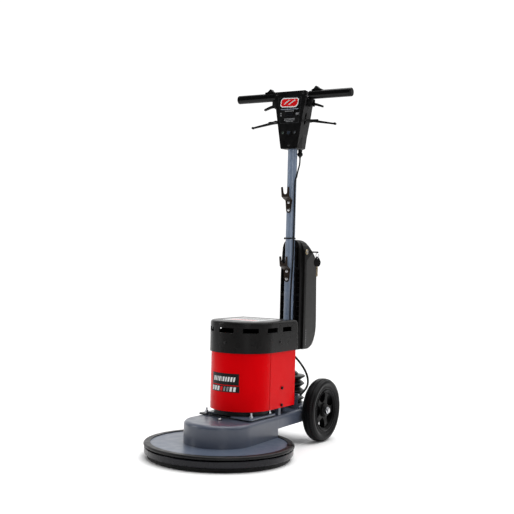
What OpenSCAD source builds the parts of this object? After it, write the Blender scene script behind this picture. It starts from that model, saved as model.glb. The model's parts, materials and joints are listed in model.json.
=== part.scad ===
/* [Deck] */
// Radius of the deck plate
deck_r = 212; // [200:1:220]
// Thickness of the deck plate
deck_t = 6; // [4:0.5:8]
// Outer radius of the rubber bumper
bumper_r = 227; // [225:1:235]
// Radius of the drive board under the deck
board_r = 225; // [215:1:225]
// Radius of the floor pad
pad_r = 216; // [200:1:218]
// Thickness of the floor pad
pad_t = 14; // [10:1:20]

/* [Gear housing] */
// Radius of the housing's round front
housing_r = 108; // [104:1:110]
// Half width of the housing at its rear step
housing_w = 101; // [98:1:104]
// Where the deep part of the housing ends behind the spindle
step_y = 190; // [180:1:196]
// Height of the housing's top above the floor
housing_top = 112; // [110:1:114]
// Radius of the rounded top edge
housing_fillet = 12; // [6:1:14]

/* [Motor and cover] */
// Distance from the spindle back to the motor shaft
motor_y = 123.5; // [120:0.5:128]
// Outer radius of the motor can
motor_r = 90; // [80:1:92]
// Outer radius of the cover's round front
cover_r = 99.5; // [98:0.5:102]
// Height of the cover's lower edge
cover_z = 136; // [130:1:142]
// Height of the cap's lower edge
cap_z = 312.5; // [305:0.5:315]
// Height of the cap's top
cap_top = 408.5; // [400:0.5:412]
// Rear face of the cap
cap_rear = 289.5; // [284:0.5:292]

/* [Wheels] */
// Radius of a wheel
wheel_r = 104; // [100:1:106]
// Width of a wheel
wheel_w = 44; // [38:1:46]
// Outer face of a wheel from the middle plane
wheel_x = 144.5; // [140:0.5:148]
// Axle position behind the spindle
axle_y = 427; // [420:1:432]
// Radius of the axle
axle_r = 7.5; // [6:0.5:8]

/* [Handle] */
// Handle tube position behind the spindle
tube_y = 403; // [400:1:405]
// Radius of the handle tube
tube_r = 16; // [15:0.5:16]
// Height of the handle's tilt pivot
pivot_z = 156; // [154:1:158]
// Height of the handlebar's middle
bar_z = 1152; // [1148:1:1154]
// Half length of the handlebar with its grips
bar_half = 218; // [200:1:230]
// Radius of a grip
grip_r = 14.5; // [14:0.5:15]

/* [Battery] */
// Half width of the battery
battery_w = 44; // [42:1:45]
// Height of the battery's lower end
battery_z = 299; // [298:1:302]
// Height of the battery's upper end
battery_top = 668; // [660:1:670]

/* [Hidden] */
$fn = 64;
deck_z = 38.5;
deck_top = deck_z + deck_t;
pad_gap = 1;
bearing_r = 23.5;
pulley_z = 60;
pulley_h = 20;
big_pulley_r = 58;
small_pulley_r = 24;
belt_t = 4;
belt_gap = 0.3;
plate_t = 4.5;
plate_top = housing_top + 2 * plate_t;
fit = 0.05;
cover_t = 1.5;
// Gap between the cover's front and its sides
seam = 2.4;
cover_in = cover_r - cover_t;
cover_rear = 280.5;
cover_top = 318;
cap_r = 104;
cap_t = 4.4;
arm_z = 72;
arm_top = 122;
arm_rear = 458;
arm_w = 90;
post_x = 87;
post_y = 197;
// Heights of the screws in the cover's sides
side_screws = [144.5, 198];
wheel_in = wheel_x - wheel_w;
drum_r = 24;
drum_w = 16;
foot_w = 34;
collar_z = 205;
socket_z = 226;
tube_z = 222;
tube_end = 1040;
bar_y = 400;
bar_r = 12.5;
head_y = 373.7;
head_panel_t = 3.7;
head_z = 972;
head_top = 1164;
head_low_w = 31.3;
head_high_w = 61;
head_wall = 2.5;
release_x = 12;
release_z = 1066;
switch_x = 66;
switch_z = 1124;
button_z = 1026;
button_r = 5.4;
lever_y = 396.2;
lever_t = 7.6;
hook_z = [756, 524];
cradle_y = 410;
frame_y = 430;
shell_y = 443;
rear_y = 521;
lock_y = 441;
lock_z = 628;
key_hole_x = 80.8;
ring_turn = -30;
spare_z = 607.5;
gland_x = 69;
gland_z = 149;
lead_r = 3.6;
wire_r = 2.5;
// Battery lead, from the cradle's strain relief to the gland beside the gaiter
lead_route = [
    [10, 425, 286], [10, 425, 282], [13, 425, 276.5], [21.5, 425, 269.5], [36, 425, 256],
    [49.5, 424.5, 241.3], [60, 424, 226.7], [68, 422, 213], [74, 417.5, 198], [77.5, 409, 184],
    [78.5, 397, 174], [77, 384.5, 165], [73, 374, 156], [70, 368.5, 150.7], [69, 365.5, 149],
    [69, 362, 149]];
// Switch cable, from the head's gland down the tube into the cradle
wire_route = [
    [20, 419, 944], [20, 419, 938], [20, 417, 922], [19, 408, 898], [19, 401, 879],
    [17.3, 395.3, 858], [17.5, 395.5, 760], [17.3, 395.1, 680], [16.9, 394.3, 600],
    [15.3, 391.7, 530], [14.1, 390.2, 460], [14.8, 390.9, 400], [18.4, 396, 362],
    [24, 404, 342], [29.5, 413, 330.5], [31, 420.5, 327], [31, 426, 327]];

// Points of an arc about c, from angle a to angle b in n steps
function arc(c, r, a, b, n = 8) =
    [for (i = [0:n]) c + r * [cos(a + (b - a) * i / n), sin(a + (b - a) * i / n)]];

// A point between p1 and p2 on a smooth curve through four points
function smooth(p0, p1, p2, p3, t) =
    0.5 * (2 * p1 + (p2 - p0) * t + (2 * p0 - 5 * p1 + 4 * p2 - p3) * t * t
        + (3 * p1 - p0 - 3 * p2 + p3) * t * t * t);

// The route with n steps between each two of its points
function fine_route(p, n) = concat(
    [for (i = [0:len(p) - 2]) for (k = [0:n - 1])
        smooth(p[max(i - 1, 0)], p[i], p[i + 1], p[min(i + 2, len(p) - 1)], k / n)],
    [p[len(p) - 1]]);

function unit(v) = v / norm(v);

// Direction of the route at point i
function along(p, i) = unit(p[min(i + 1, len(p) - 1)] - p[max(i - 1, 0)]);

// Round solid swept along a route
module swept(route, r, steps, sides, across) {
    p = fine_route(route, steps);
    n = len(p);
    last = len(route) - 1;
    first_way = unit(route[1] - route[0]);
    last_way = unit(route[last] - route[last - 1]);
    points = [for (i = [0:n - 1])
        let (t = i == 0 ? first_way : i == n - 1 ? last_way : along(p, i),
            u = unit(cross(t, across)), v = cross(t, u))
        for (k = [0:sides - 1]) p[i] + r * (cos(360 * k / sides) * u + sin(360 * k / sides) * v)];
    walls = [for (i = [0:n - 2]) for (k = [0:sides - 1])
        let (a = i * sides + k, b = i * sides + (k + 1) % sides)
        [a, a + sides, b + sides, b]];
    ends = [[for (k = [0:sides - 1]) k], [for (k = [0:sides - 1]) n * sides - 1 - k]];
    polyhedron(points, concat(walls, ends));
}

// Cylinder along X from x0 to x1 at (y, z)
module rod_x(x0, x1, y, z, r) {
    translate([x0, y, z]) rotate([0, 90, 0]) cylinder(h = x1 - x0, r = r);
}

// Cylinder along Y from y0 to y1 at (x, z)
module rod_y(y0, y1, x, z, r) {
    translate([x, y0, z]) rotate([-90, 0, 0]) cylinder(h = y1 - y0, r = r);
}

// Box between two corners
module box(a, b) {
    translate(a) cube(b - a);
}

// Ring between two radii
module ring(z0, z1, r_in, r_out) {
    translate([0, 0, z0]) difference() {
        cylinder(h = z1 - z0, r = r_out);
        translate([0, 0, -1]) cylinder(h = z1 - z0 + 2, r = r_in);
    }
}

// Flat shape in X and Z, extruded from y0 to y1
module plate_xz(points, y0, y1) {
    translate([0, y1, 0]) rotate([90, 0, 0]) linear_extrude(y1 - y0) polygon(points);
}

// Flat shape in Y and Z, extruded from x0 to x1
module plate_yz(points, x0, x1) {
    translate([x0, 0, 0]) rotate([90, 0, 90]) linear_extrude(x1 - x0) polygon(points);
}

// Round post with a rounded top edge
module soft_post(r, z0, z1, f, sides = 32) {
    translate([0, 0, z0]) rotate_extrude($fn = sides)
        polygon(concat([[0, 0], [r, 0]], arc([r - f, z1 - z0 - f], f, 0, 90, 5), [[0, z1 - z0]]));
}

// ---- Deck ----

module deck_plate() {
    color([0.27, 0.29, 0.33]) difference() {
        union() {
            translate([0, 0, deck_z]) cylinder(h = deck_t, r = deck_r);
            translate([0, 0, deck_z - pad_gap]) cylinder(h = 20.5, r = 34);
        }
        translate([0, 0, 42]) cylinder(h = 20, r = bearing_r);
        translate([0, 0, 30]) cylinder(h = 20, r = 16);
    }
}

module bumper_ring() {
    round_r = 5.25;
    color([0.05, 0.05, 0.05]) difference() {
        rotate_extrude() difference() {
            union() {
                translate([bumper_r - round_r, deck_top - 2.75]) circle(r = round_r);
                translate([deck_r - 5, deck_top - 2.75 - round_r]) square([bumper_r - round_r - deck_r + 5, 2 * round_r]);
            }
            translate([deck_r - 20, deck_z]) square([20, deck_t]);
        }
        // The strip's two ends meet here with a narrow gap
        rotate([0, 0, 26]) box([deck_r - 8, -0.6, deck_z - 5], [bumper_r + 2, 0.6, deck_top + 5]);
    }
}

module floor_pad() {
    color([0.06, 0.06, 0.065]) rotate_extrude()
        polygon(concat([[0, 0]], arc([pad_r - 4, 4], 4, -90, 0, 5), [[pad_r, pad_t], [0, pad_t]]));
}

module drive_board() {
    top = deck_z - 5;
    color([0.09, 0.09, 0.10]) rotate_extrude() difference() {
        polygon(concat([[20, pad_t]], arc([board_r - 5, pad_t + 5], 5, -90, 0, 6),
            arc([board_r - 2, top - 2], 2, 0, 90, 4), [[20, top]]));
        // Shallow recess around the hub plate's rim
        translate([60, top - 4]) square([120, 5]);
    }
}

module spindle() {
    color([0.62, 0.62, 0.64]) {
        translate([0, 0, 22]) cylinder(h = 76, r = 12.5 - fit);
        translate([0, 0, 22]) cylinder(h = 11.5, r = 20);
        translate([0, 0, deck_z - 5]) cylinder(h = 3, r = 42);
    }
}

// ---- Gear housing and belt drive ----

module housing_corner(x, y, z0, z1) {
    translate([x, y, 0]) soft_post(14, z0, z1, housing_fillet);
}

module gear_housing() {
    inner = housing_r - 8;
    color([0.29, 0.31, 0.35]) difference() {
        union() {
            hull() {
                soft_post(housing_r, deck_top, housing_top, housing_fillet, 96);
                for (s = [-1, 1]) housing_corner(s * (housing_w - 14), step_y - 14, deck_top, housing_top);
            }
            hull() for (s = [-1, 1]) {
                housing_corner(s * (housing_w - 14), step_y - 30, arm_z, housing_top);
                housing_corner(s * (arm_w - 14), arm_rear - 14, arm_z, housing_top);
            }
            hull() for (s = [-1, 1]) for (y = [347 + 14, arm_rear - 14])
                housing_corner(s * (arm_w - 14), y, arm_z, arm_top);
            // Lug that holds the battery lead's gland
            box([gland_x - 12, 334, housing_top - 1], [gland_x + 12, 340, gland_z + 14]);
        }
        // Belt chamber
        translate([0, 0, deck_top - 1]) linear_extrude(housing_top - 8 - deck_top + 1) difference() {
            union() {
                circle(r = inner);
                translate([-inner + 8, 0]) square([2 * inner - 16, step_y - 8]);
            }
        }
        // Pockets under the arm, with ribs between them
        for (s = [-1, 1]) for (y = [200, 284])
            box([s > 0 ? 4 : -76, y, arm_z - 1], [s > 0 ? 76 : -4, y + 76, housing_top - 8]);
        for (s = [-1, 1]) box([s > 0 ? 4 : -76, 380, arm_z - 1], [s > 0 ? 76 : -4, 412, 92]);
        // Opening for the motor shaft
        translate([0, motor_y, housing_top - 20]) cylinder(h = 30, r = 34);
        rod_x(-120, 120, axle_y, wheel_r, axle_r);
        rod_y(330, 345, gland_x, gland_z, 8);
        translate([0, 0, housing_top - 9]) cylinder(h = 10, r = 8);
        // Clearance under the rear corners for the bumper's lip
        ring(deck_top - 1, deck_top + 2.6, deck_r - 5.1, bumper_r + 5);
    }
    // Bearing boss under the housing's top
    color([0.29, 0.31, 0.35]) difference() {
        translate([0, 0, 84]) cylinder(h = housing_top - 8 - 84, r = 34);
        translate([0, 0, 83]) cylinder(h = 15, r = bearing_r);
        translate([0, 0, 90]) cylinder(h = 30, r = 15);
    }
}

module ball_bearings() {
    color([0.7, 0.7, 0.72]) {
        ring(42, 54, 12.5, bearing_r);
        ring(86, 98, 12.5, bearing_r);
        translate([0, motor_y, 0]) {
            ring(plate_top + 2, plate_top + 16, 10, bearing_r);
            ring(240, 254, 10, bearing_r);
        }
    }
}

// Pulley with six V grooves around its rim
module ribbed_pulley(r, bore) {
    groove = 1.6;
    difference() {
        cylinder(h = pulley_h, r = r);
        translate([0, 0, -1]) cylinder(h = pulley_h + 2, r = bore);
        for (i = [0:5]) translate([0, 0, 3.4 + 2.4 * i]) rotate_extrude()
            polygon([[r - groove, 0.6], [r + 1, -0.4], [r + 1, 1.6]]);
    }
}

module large_pulley() {
    color([0.5, 0.51, 0.53]) translate([0, 0, pulley_z]) difference() {
        ribbed_pulley(big_pulley_r, 12.5 - fit);
        for (i = [0:5]) rotate([0, 0, 60 * i]) translate([36, 0, -1]) cylinder(h = pulley_h + 2, r = 9);
    }
}

module motor_pulley() {
    color([0.5, 0.51, 0.53]) translate([0, motor_y, pulley_z]) ribbed_pulley(small_pulley_r, 10 - fit);
}

// Outline around both pulleys, with its straight runs tangent to them
module belt_outline(r1, r2) {
    a = asin((r1 - r2) / motor_y);
    circle(r = r1);
    translate([0, motor_y]) circle(r = r2);
    polygon([[r1 * cos(a), r1 * sin(a)], [r2 * cos(a), motor_y + r2 * sin(a)],
        [-r2 * cos(a), motor_y + r2 * sin(a)], [-r1 * cos(a), r1 * sin(a)]]);
}

module drive_belt() {
    color([0.04, 0.04, 0.04]) translate([0, 0, pulley_z + 2]) linear_extrude(pulley_h - 4) difference() {
        belt_outline(big_pulley_r + belt_gap + belt_t, small_pulley_r + belt_gap + belt_t);
        belt_outline(big_pulley_r + belt_gap, small_pulley_r + belt_gap);
    }
}

// ---- Motor ----

stud_places = [[-84, 52], [84, 44], [84, 152], [-76, 152]];
stud_r = 3;

module stud_holes() {
    for (p = stud_places) translate([p[0], p[1], 0]) circle(r = stud_r);
    translate([0, motor_y]) circle(r = 34);
}

module belt_plate() {
    color([0.11, 0.11, 0.12]) translate([0, 0, housing_top]) linear_extrude(plate_t) difference() {
        polygon(concat(arc([-104, 56], 8, 180, 262, 5), [[10, 38], [92, 34]],
            arc([86, 166], 8, 0, 90, 5), arc([-90, 170], 8, 90, 170, 5)));
        stud_holes();
    }
}

module motor_plate() {
    color([0.33, 0.35, 0.38]) translate([0, 0, housing_top + plate_t]) linear_extrude(plate_t) difference() {
        polygon(concat([[20, 60], [20, 30]], arc([90, 27], 8, -100, 0, 5), arc([90, 162], 8, 0, 90, 5),
            arc([-82, 162], 8, 90, 180, 5), [[-90, 60]]));
        stud_holes();
    }
}

module motor_studs() {
    color([0.8, 0.8, 0.82]) for (p = stud_places) translate([p[0], p[1], 0]) {
        translate([0, 0, housing_top]) cylinder(h = p[1] < 100 ? 24 : 20, r = stud_r);
        translate([0, 0, plate_top]) cylinder(h = 1.3, r = 6.4);
        translate([0, 0, plate_top + 1.3]) cylinder(h = 5.2, r = 5.9, $fn = 6);
    }
}

module motor_can() {
    wall = 4;
    foot_r = 87;
    color([0.13, 0.13, 0.14]) translate([0, motor_y, 0]) difference() {
        union() {
            translate([0, 0, plate_top]) cylinder(h = 246 - plate_top, r = motor_r - 12);
            translate([0, 0, plate_top]) cylinder(h = 14, r = foot_r);
            translate([0, 0, plate_top + 14]) cylinder(h = 232 - plate_top, r = motor_r);
        }
        translate([0, 0, plate_top + 18]) cylinder(h = 150, r = motor_r - wall);
        translate([0, 0, plate_top + 2]) cylinder(h = 20, r = bearing_r);
        translate([0, 0, plate_top - 1]) cylinder(h = 10, r = 14);
        // Notches that clear the plate's studs
        for (p = stud_places) translate([p[0], p[1] - motor_y, plate_top - 1]) cylinder(h = 13, r = 10);
    }
}

module stator_core() {
    slots = 12;
    color([0.45, 0.35, 0.25]) translate([0, motor_y, 0]) difference() {
        ring(150, 235, 46, motor_r - 4);
        for (i = [0:slots - 1]) rotate([0, 0, 360 / slots * i])
            box([44, -3.5, 149], [70, 3.5, 236]);
    }
}

module motor_end_bell() {
    color([0.35, 0.36, 0.38]) translate([0, motor_y, 0]) difference() {
        union() {
            translate([0, 0, 246]) cylinder(h = 12, r = motor_r);
            translate([0, 0, 239]) cylinder(h = 10, r = 32);
        }
        translate([0, 0, 238]) cylinder(h = 16, r = bearing_r);
        translate([0, 0, 238]) cylinder(h = 30, r = 14);
        for (i = [0:7]) rotate([0, 0, 45 * i + 22.5]) box([46, -9, 240], [74, 9, 270]);
    }
}

module rotor() {
    color([0.55, 0.55, 0.57]) translate([0, motor_y, 0]) {
        translate([0, 0, 58]) cylinder(h = 226, r = 10 - fit);
        translate([0, 0, 150]) cylinder(h = 85, r = 45);
    }
}

module cooling_fan() {
    blades = 9;
    color([0.15, 0.15, 0.16]) translate([0, motor_y, 0]) {
        ring(264, 282, 10 - fit, 18);
        ring(264, 266, 17, 72);
        for (i = [0:blades - 1]) rotate([0, 0, 360 / blades * i])
            translate([0, 0, 266]) linear_extrude(14) polygon([[17, -1.2], [71, 12], [71, 14.4], [17, 1.2]]);
    }
}

// ---- Motor cover ----

module front_cover() {
    color([0.80, 0.04, 0.05]) translate([0, motor_y, cover_z]) rotate([0, 0, 180])
        rotate_extrude(angle = 180) translate([cover_in, 0]) square([cover_t, cover_top - cover_z]);
}

module side_panels() {
    color([0.80, 0.04, 0.05]) difference() {
        for (s = [-1, 1])
            box([s > 0 ? cover_in : -cover_r, motor_y + seam, cover_z],
                [s > 0 ? cover_r : -cover_in, cover_rear, cover_top]);
        for (z = side_screws) rod_x(-110, 110, post_y, z, 2.5);
    }
}

module rear_panel() {
    color([0.06, 0.06, 0.065]) difference() {
        union() {
            box([-cover_in, cover_rear - cover_t, cover_z - 5], [cover_in, cover_rear, cover_top]);
            for (s = [-1, 1]) box([s > 0 ? cover_in - cover_t : -cover_in, 262, cover_z],
                [s > 0 ? cover_in : -cover_in + cover_t, cover_rear, cover_top]);
        }
        // Air grille
        for (x = [-50:20:50]) box([x - 6, 270, 240], [x + 6, 290, 290]);
    }
}

module cover_posts() {
    color([0.36, 0.39, 0.43]) difference() {
        union() {
            for (s = [-1, 1]) {
                box([s * post_x - 7, post_y - 7, housing_top], [s * post_x + 7, post_y + 7, 296]);
                for (z = side_screws)
                    rod_x(s > 0 ? post_x : -cover_in, s > 0 ? cover_in : -post_x, post_y, z, 7);
                box([s * 60 - 7, 264, housing_top], [s * 60 + 7, 278, 296]);
            }
        }
        for (z = side_screws) rod_x(-110, 110, post_y, z, 2.5);
    }
}

// Places and directions of the cap's screws
cap_screws = [[cap_r, 172.6, 90], [0, motor_y - cap_r, 0], [-cap_r, 172.6, -90]];

module button_screw(shank, rim) {
    rotate_extrude() polygon(concat([[0, -shank], [2.5, -shank], [2.5, 0], [4.8, 0]],
        arc([0, rim - 3.2], 5.8, 34, 90, 5)));
}

module cover_screws() {
    color([0.07, 0.07, 0.07]) {
        for (s = [-1, 1]) for (z = side_screws)
            translate([s * cover_r, post_y, z]) rotate([0, 90 * s, 0]) button_screw(12, 3.4);
        for (p = cap_screws) translate([p[0], p[1], 344]) rotate([90, 0, p[2]]) button_screw(2, 1);
    }
}

// Solid of the cap's outer shape, made smaller by inset
module cap_solid(inset, z0) {
    r = cap_r - inset;
    top = cap_top - inset;
    f = 8;
    corner = 20 - inset;
    hull() {
        translate([0, motor_y, 0]) soft_post(r, z0, top, f, 96);
        for (s = [-1, 1]) {
            translate([s * (r - 4), cap_rear - inset - 4, z0]) cylinder(h = 20, r = 4, $fn = 24);
            translate([s * (r - f), cap_rear - 20, cap_top - 20]) rotate([0, 90 * s, 0])
                rotate_extrude($fn = 48) polygon(concat([[0, -1]], arc([corner - f, 0], f, 0, 90, 5),
                    [[0, f]], [[0, -1]]));
        }
    }
}

module top_cap() {
    vent_low = 374.5;
    vent_high = 389;
    color([0.12, 0.12, 0.125]) difference() {
        cap_solid(0, cap_z);
        cap_solid(cap_t, cap_z - 5);
        // Vents in the round front, by angle from the front
        for (a = [[-89.5, -77], [-58.5, -30.5], [-14.5, 14.5], [30.5, 58.5], [77, 89.5]])
            translate([0, motor_y, vent_low]) rotate([0, 0, a[0] - 90])
                rotate_extrude(angle = a[1] - a[0]) translate([cap_r - 8, 0]) square([13, vent_high - vent_low]);
        // Vents in the flat sides
        for (s = [-1, 1]) for (y = [[motor_y - 2, 155], [188, 242]])
            box([s > 0 ? cap_r - 8 : -cap_r - 5, y[0], vent_low], [s > 0 ? cap_r + 5 : -cap_r + 8, y[1], vent_high]);
        for (p = cap_screws) translate([p[0], p[1], 344]) rotate([90, 0, p[2]])
            translate([0, 0, -6]) cylinder(h = 12, r = 2.5);
    }
}

module controller() {
    fins = 11;
    color([0.4, 0.41, 0.43]) {
        box([-94, 110, 296], [94, 278, 299]);
        box([-60, 130, 299], [60, 250, 344]);
        for (i = [0:fins - 1]) box([-58 + i * 11.4, 132, 343], [-56 + i * 11.4, 248, 358]);
    }
}

// ---- Axle, wheels and tilt pivot ----

module axle() {
    color([0.7, 0.7, 0.72]) rod_x(-wheel_x - 7, wheel_x + 7, axle_y, wheel_r, axle_r);
}

module axle_caps() {
    color([0.85, 0.85, 0.86]) for (s = [-1, 1]) translate([s * wheel_x, axle_y, wheel_r])
        rotate([0, 90 * s, 0]) rotate_extrude() difference() {
            polygon(concat([[0, 0.5], [11.5, 0.5]], arc([0, -13], 19.06, 52.9, 90, 6)));
            translate([-1, -1]) square([axle_r + 1, 8]);
        }
}

// Tyre and rim stand around their own axis, with the outer face up at z = wheel_w
module tyre_shape() {
    color([0.05, 0.05, 0.052]) rotate_extrude($fn = 128) difference() {
        polygon(concat([[71, 5]], arc([wheel_r - 14, 13], 12, -100, -22, 5),
            arc([wheel_r - 80, wheel_w / 2], 80, -9, 9, 6), arc([wheel_r - 14, wheel_w - 13], 12, 22, 100, 5),
            [[71, wheel_w - 5]]));
        // Two grooves around the tread
        for (z = [15, 29]) translate([wheel_r - 3.5, z - 1]) square([6, 2]);
    }
}

module rim_shape() {
    spokes = 5;
    color([0.08, 0.08, 0.085]) difference() {
        union() {
            rotate_extrude($fn = 128) polygon([[axle_r + fit, -9], [16, -9], [16, 3], [23, 8], [23, 36], [19, 42],
                [axle_r + fit, 42]]);
            rotate_extrude($fn = 128) polygon([[59, 8], [71, 5], [71, wheel_w - 5], [66, wheel_w - 3],
                [59, wheel_w - 8]]);
            for (i = [0:spokes - 1]) rotate([0, 0, 360 / spokes * i + 90]) translate([0, 0, 13])
                linear_extrude(19) polygon([[20, -15], [35, -9], [48, -9], [60, -17], [60, 17], [48, 9],
                    [35, 9], [20, 15]]);
        }
        translate([0, 0, -20]) cylinder(h = 80, r = axle_r + fit);
    }
}

module on_wheel(s) {
    translate([s * wheel_in, axle_y, wheel_r]) rotate([0, 90 * s, 0]) children();
}

module pivot_bracket() {
    color([0.16, 0.17, 0.19]) difference() {
        union() {
            translate([0, tube_y, arm_top]) cylinder(h = 5, r = 34);
            box([-drum_w / 2, tube_y - 16, arm_top], [drum_w / 2, tube_y + 16, pivot_z]);
            rod_x(-drum_w / 2, drum_w / 2, tube_y, pivot_z, drum_r);
        }
        rod_x(-20, 20, tube_y, pivot_z, 8);
    }
}

module pivot_pin() {
    color([0.7, 0.7, 0.72]) rod_x(-foot_w / 2 - 2, foot_w / 2 + 2, tube_y, pivot_z, 8);
}

// Folds at these heights stand out, and the skin turns in halfway between them
gaiter_folds = [136, 161, 186, 210];

module gaiter() {
    fold_r = 58;
    outer = concat([[54, arm_top], [54, arm_top + 4], [50, arm_top + 6.5]],
        [for (i = [0:3]) each concat(arc([fold_r, gaiter_folds[i]], 2.6, -70, 70, 4),
            i < 3 ? arc([50, (gaiter_folds[i] + gaiter_folds[i + 1]) / 2], 3, -90, -270, 6) : [])],
        [[44, 214], [38.6, 215], [38.6, 220.5], [34, 223], [34, 224]]);
    inner = concat([[31, 224], [31, 213], [40, 211]],
        [for (i = [3:-1:0]) each concat([[fold_r - 2, gaiter_folds[i]]],
            i > 0 ? [for (d = [3, -3]) [45, (gaiter_folds[i] + gaiter_folds[i - 1]) / 2 + d]] : [])],
        [[47.5, arm_top + 8], [47.5, arm_top]]);
    color([0.04, 0.04, 0.042]) translate([0, tube_y, 0]) rotate_extrude() polygon(concat(outer, inner));
}

module lead_gland() {
    color([0.75, 0.75, 0.76]) difference() {
        union() {
            rod_y(330, 340, gland_x, gland_z, 8);
            translate([gland_x, 340, gland_z]) rotate([-90, 0, 0]) cylinder(h = 7, r = 11, $fn = 6);
            translate([gland_x, 347, gland_z]) rotate([-90, 0, 0]) rotate_extrude()
                polygon(concat([[0, 0], [10, 0]], arc([7, 11], 3, 0, 90, 5), [[0, 14]]));
        }
        rod_y(325, 370, gland_x, gland_z, 4.5);
    }
    // Rubber seal that grips the lead
    color([0.04, 0.04, 0.04]) rod_y(335, 362, gland_x, gland_z, 4.5);
}

module handle_foot() {
    color([0.33, 0.35, 0.39]) difference() {
        union() {
            rod_x(-foot_w / 2, foot_w / 2, tube_y, pivot_z, 20);
            box([-foot_w / 2, tube_y - 20, pivot_z], [foot_w / 2, tube_y + 20, 196]);
            translate([0, tube_y, 190]) cylinder(h = 15, r = 24);
            translate([0, tube_y, collar_z]) cylinder(h = socket_z - collar_z, r = 31);
            translate([0, tube_y, socket_z]) cylinder(h = 34, r = 22);
            // Clamp ear on the right of the socket
            rod_x(0, 26, tube_y, 242, 7);
        }
        rod_x(-drum_w / 2 - 0.1, drum_w / 2 + 0.1, tube_y, pivot_z, drum_r + 0.6);
        box([-drum_w / 2 - 0.1, tube_y - 25, pivot_z - 25], [drum_w / 2 + 0.1, tube_y + 25, pivot_z]);
        rod_x(-40, 40, tube_y, pivot_z, 8 + fit);
        translate([0, tube_y, pivot_z]) cylinder(h = 80, r = 7 + fit);
        translate([0, tube_y, tube_z]) cylinder(h = 50, r = tube_r);
        rod_x(5, 40, tube_y, 242, 3);
    }
}

module handle_tube() {
    color([0.40, 0.44, 0.52]) difference() {
        translate([0, tube_y, 0]) ring(tube_z, tube_end, tube_r - 2, tube_r);
        for (z = hook_z) for (h = [11, 37]) rod_y(tube_y - 20, tube_y, 0, z + h, 2.5);
    }
}

// ---- Cable hooks and the switch cable ----

module cable_hook(z) {
    front = tube_y - tube_r;
    difference() {
        intersection() {
            plate_yz([[front, z], [front, z + 44.5], [front - 23.5, z + 56], [front - 27, z + 87],
                [front - 30, z + 87], [front - 26.5, z + 54], [front - 3, z + 42.3], [front - 3, z]], -20, 20);
            plate_xz(concat(arc([0, z + 10], 9, 180, 360, 8), [[12, z + 40], [14, z + 50], [15.5, z + 86], [9, z + 87]],
                arc([0, z + 70], 7.5, 0, -180, 8), [[-9, z + 87], [-15.5, z + 86], [-14, z + 50], [-12, z + 40]]),
                front - 60, front + 1);
        }
        for (h = [11, 37]) rod_y(front - 10, front + 5, 0, z + h, 2.5);
    }
}

module cable_hooks() {
    color([0.16, 0.13, 0.11]) for (z = hook_z) cable_hook(z);
}

module pan_screw(shank) {
    translate([0, 0, -shank]) cylinder(h = shank, r = 2.5);
    difference() {
        rotate_extrude() polygon(concat([[0, 0], [4.8, 0]], arc([0, -5.2], 7.1, 47.4, 90, 5)));
        // Hexagon socket
        translate([0, 0, 0.6]) cylinder(h = 5, r = 1.7, $fn = 6);
    }
}

// Places of the front panel's screws
panel_screws = [[-50, 1156], [50, 1156], [0, 984]];

module handle_fasteners() {
    front = tube_y - tube_r - 3;
    color([0.82, 0.82, 0.84]) {
        for (z = hook_z) for (h = [11, 37]) translate([0, front, z + h]) rotate([90, 0, 0]) pan_screw(4.8);
        for (p = panel_screws) translate([p[0], head_y, p[1]]) rotate([90, 0, 0]) pan_screw(3);
        // Hinge pins of the four levers
        for (s = [-1, 1]) {
            rod_y(388, 412, s * switch_x, switch_z, 2.5);
            rod_y(head_y + head_panel_t, 432.4, s * release_x, release_z, 3);
        }
    }
}

module switch_cable() {
    color([0.03, 0.03, 0.03]) swept(wire_route, wire_r, 3, 8, [1, 0.1, 0.05]);
}

module cable_gland() {
    color([0.05, 0.05, 0.05]) translate([20, 419, 944]) {
        translate([0, 0, 20]) cylinder(h = head_z - 964, r = 7);
        rotate_extrude() polygon(concat([[0, 0], [3.5, 0]], arc([0, 12.5], 9.3, -68, 50, 10), [[6, 20], [0, 20]]));
    }
}

// ---- Handle head ----

function head_half(z) = head_low_w + (head_high_w - head_low_w) * (z - head_z) / (head_top - head_z);

// Outline of the head seen from the front, made smaller by inset
function head_outline(inset) = let (lo = head_z + inset, hi = head_top - inset, c = 6 - inset / 2)
    concat(arc([-head_half(lo) + inset + c, lo + c], c, 188, 270, 4),
        arc([head_half(lo) - inset - c, lo + c], c, -90, -8, 4),
        arc([head_half(hi) - inset - 4, hi - 4], 4, -8, 90, 4),
        arc([-head_half(hi) + inset + 4, hi - 4], 4, 90, 188, 4));

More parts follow.
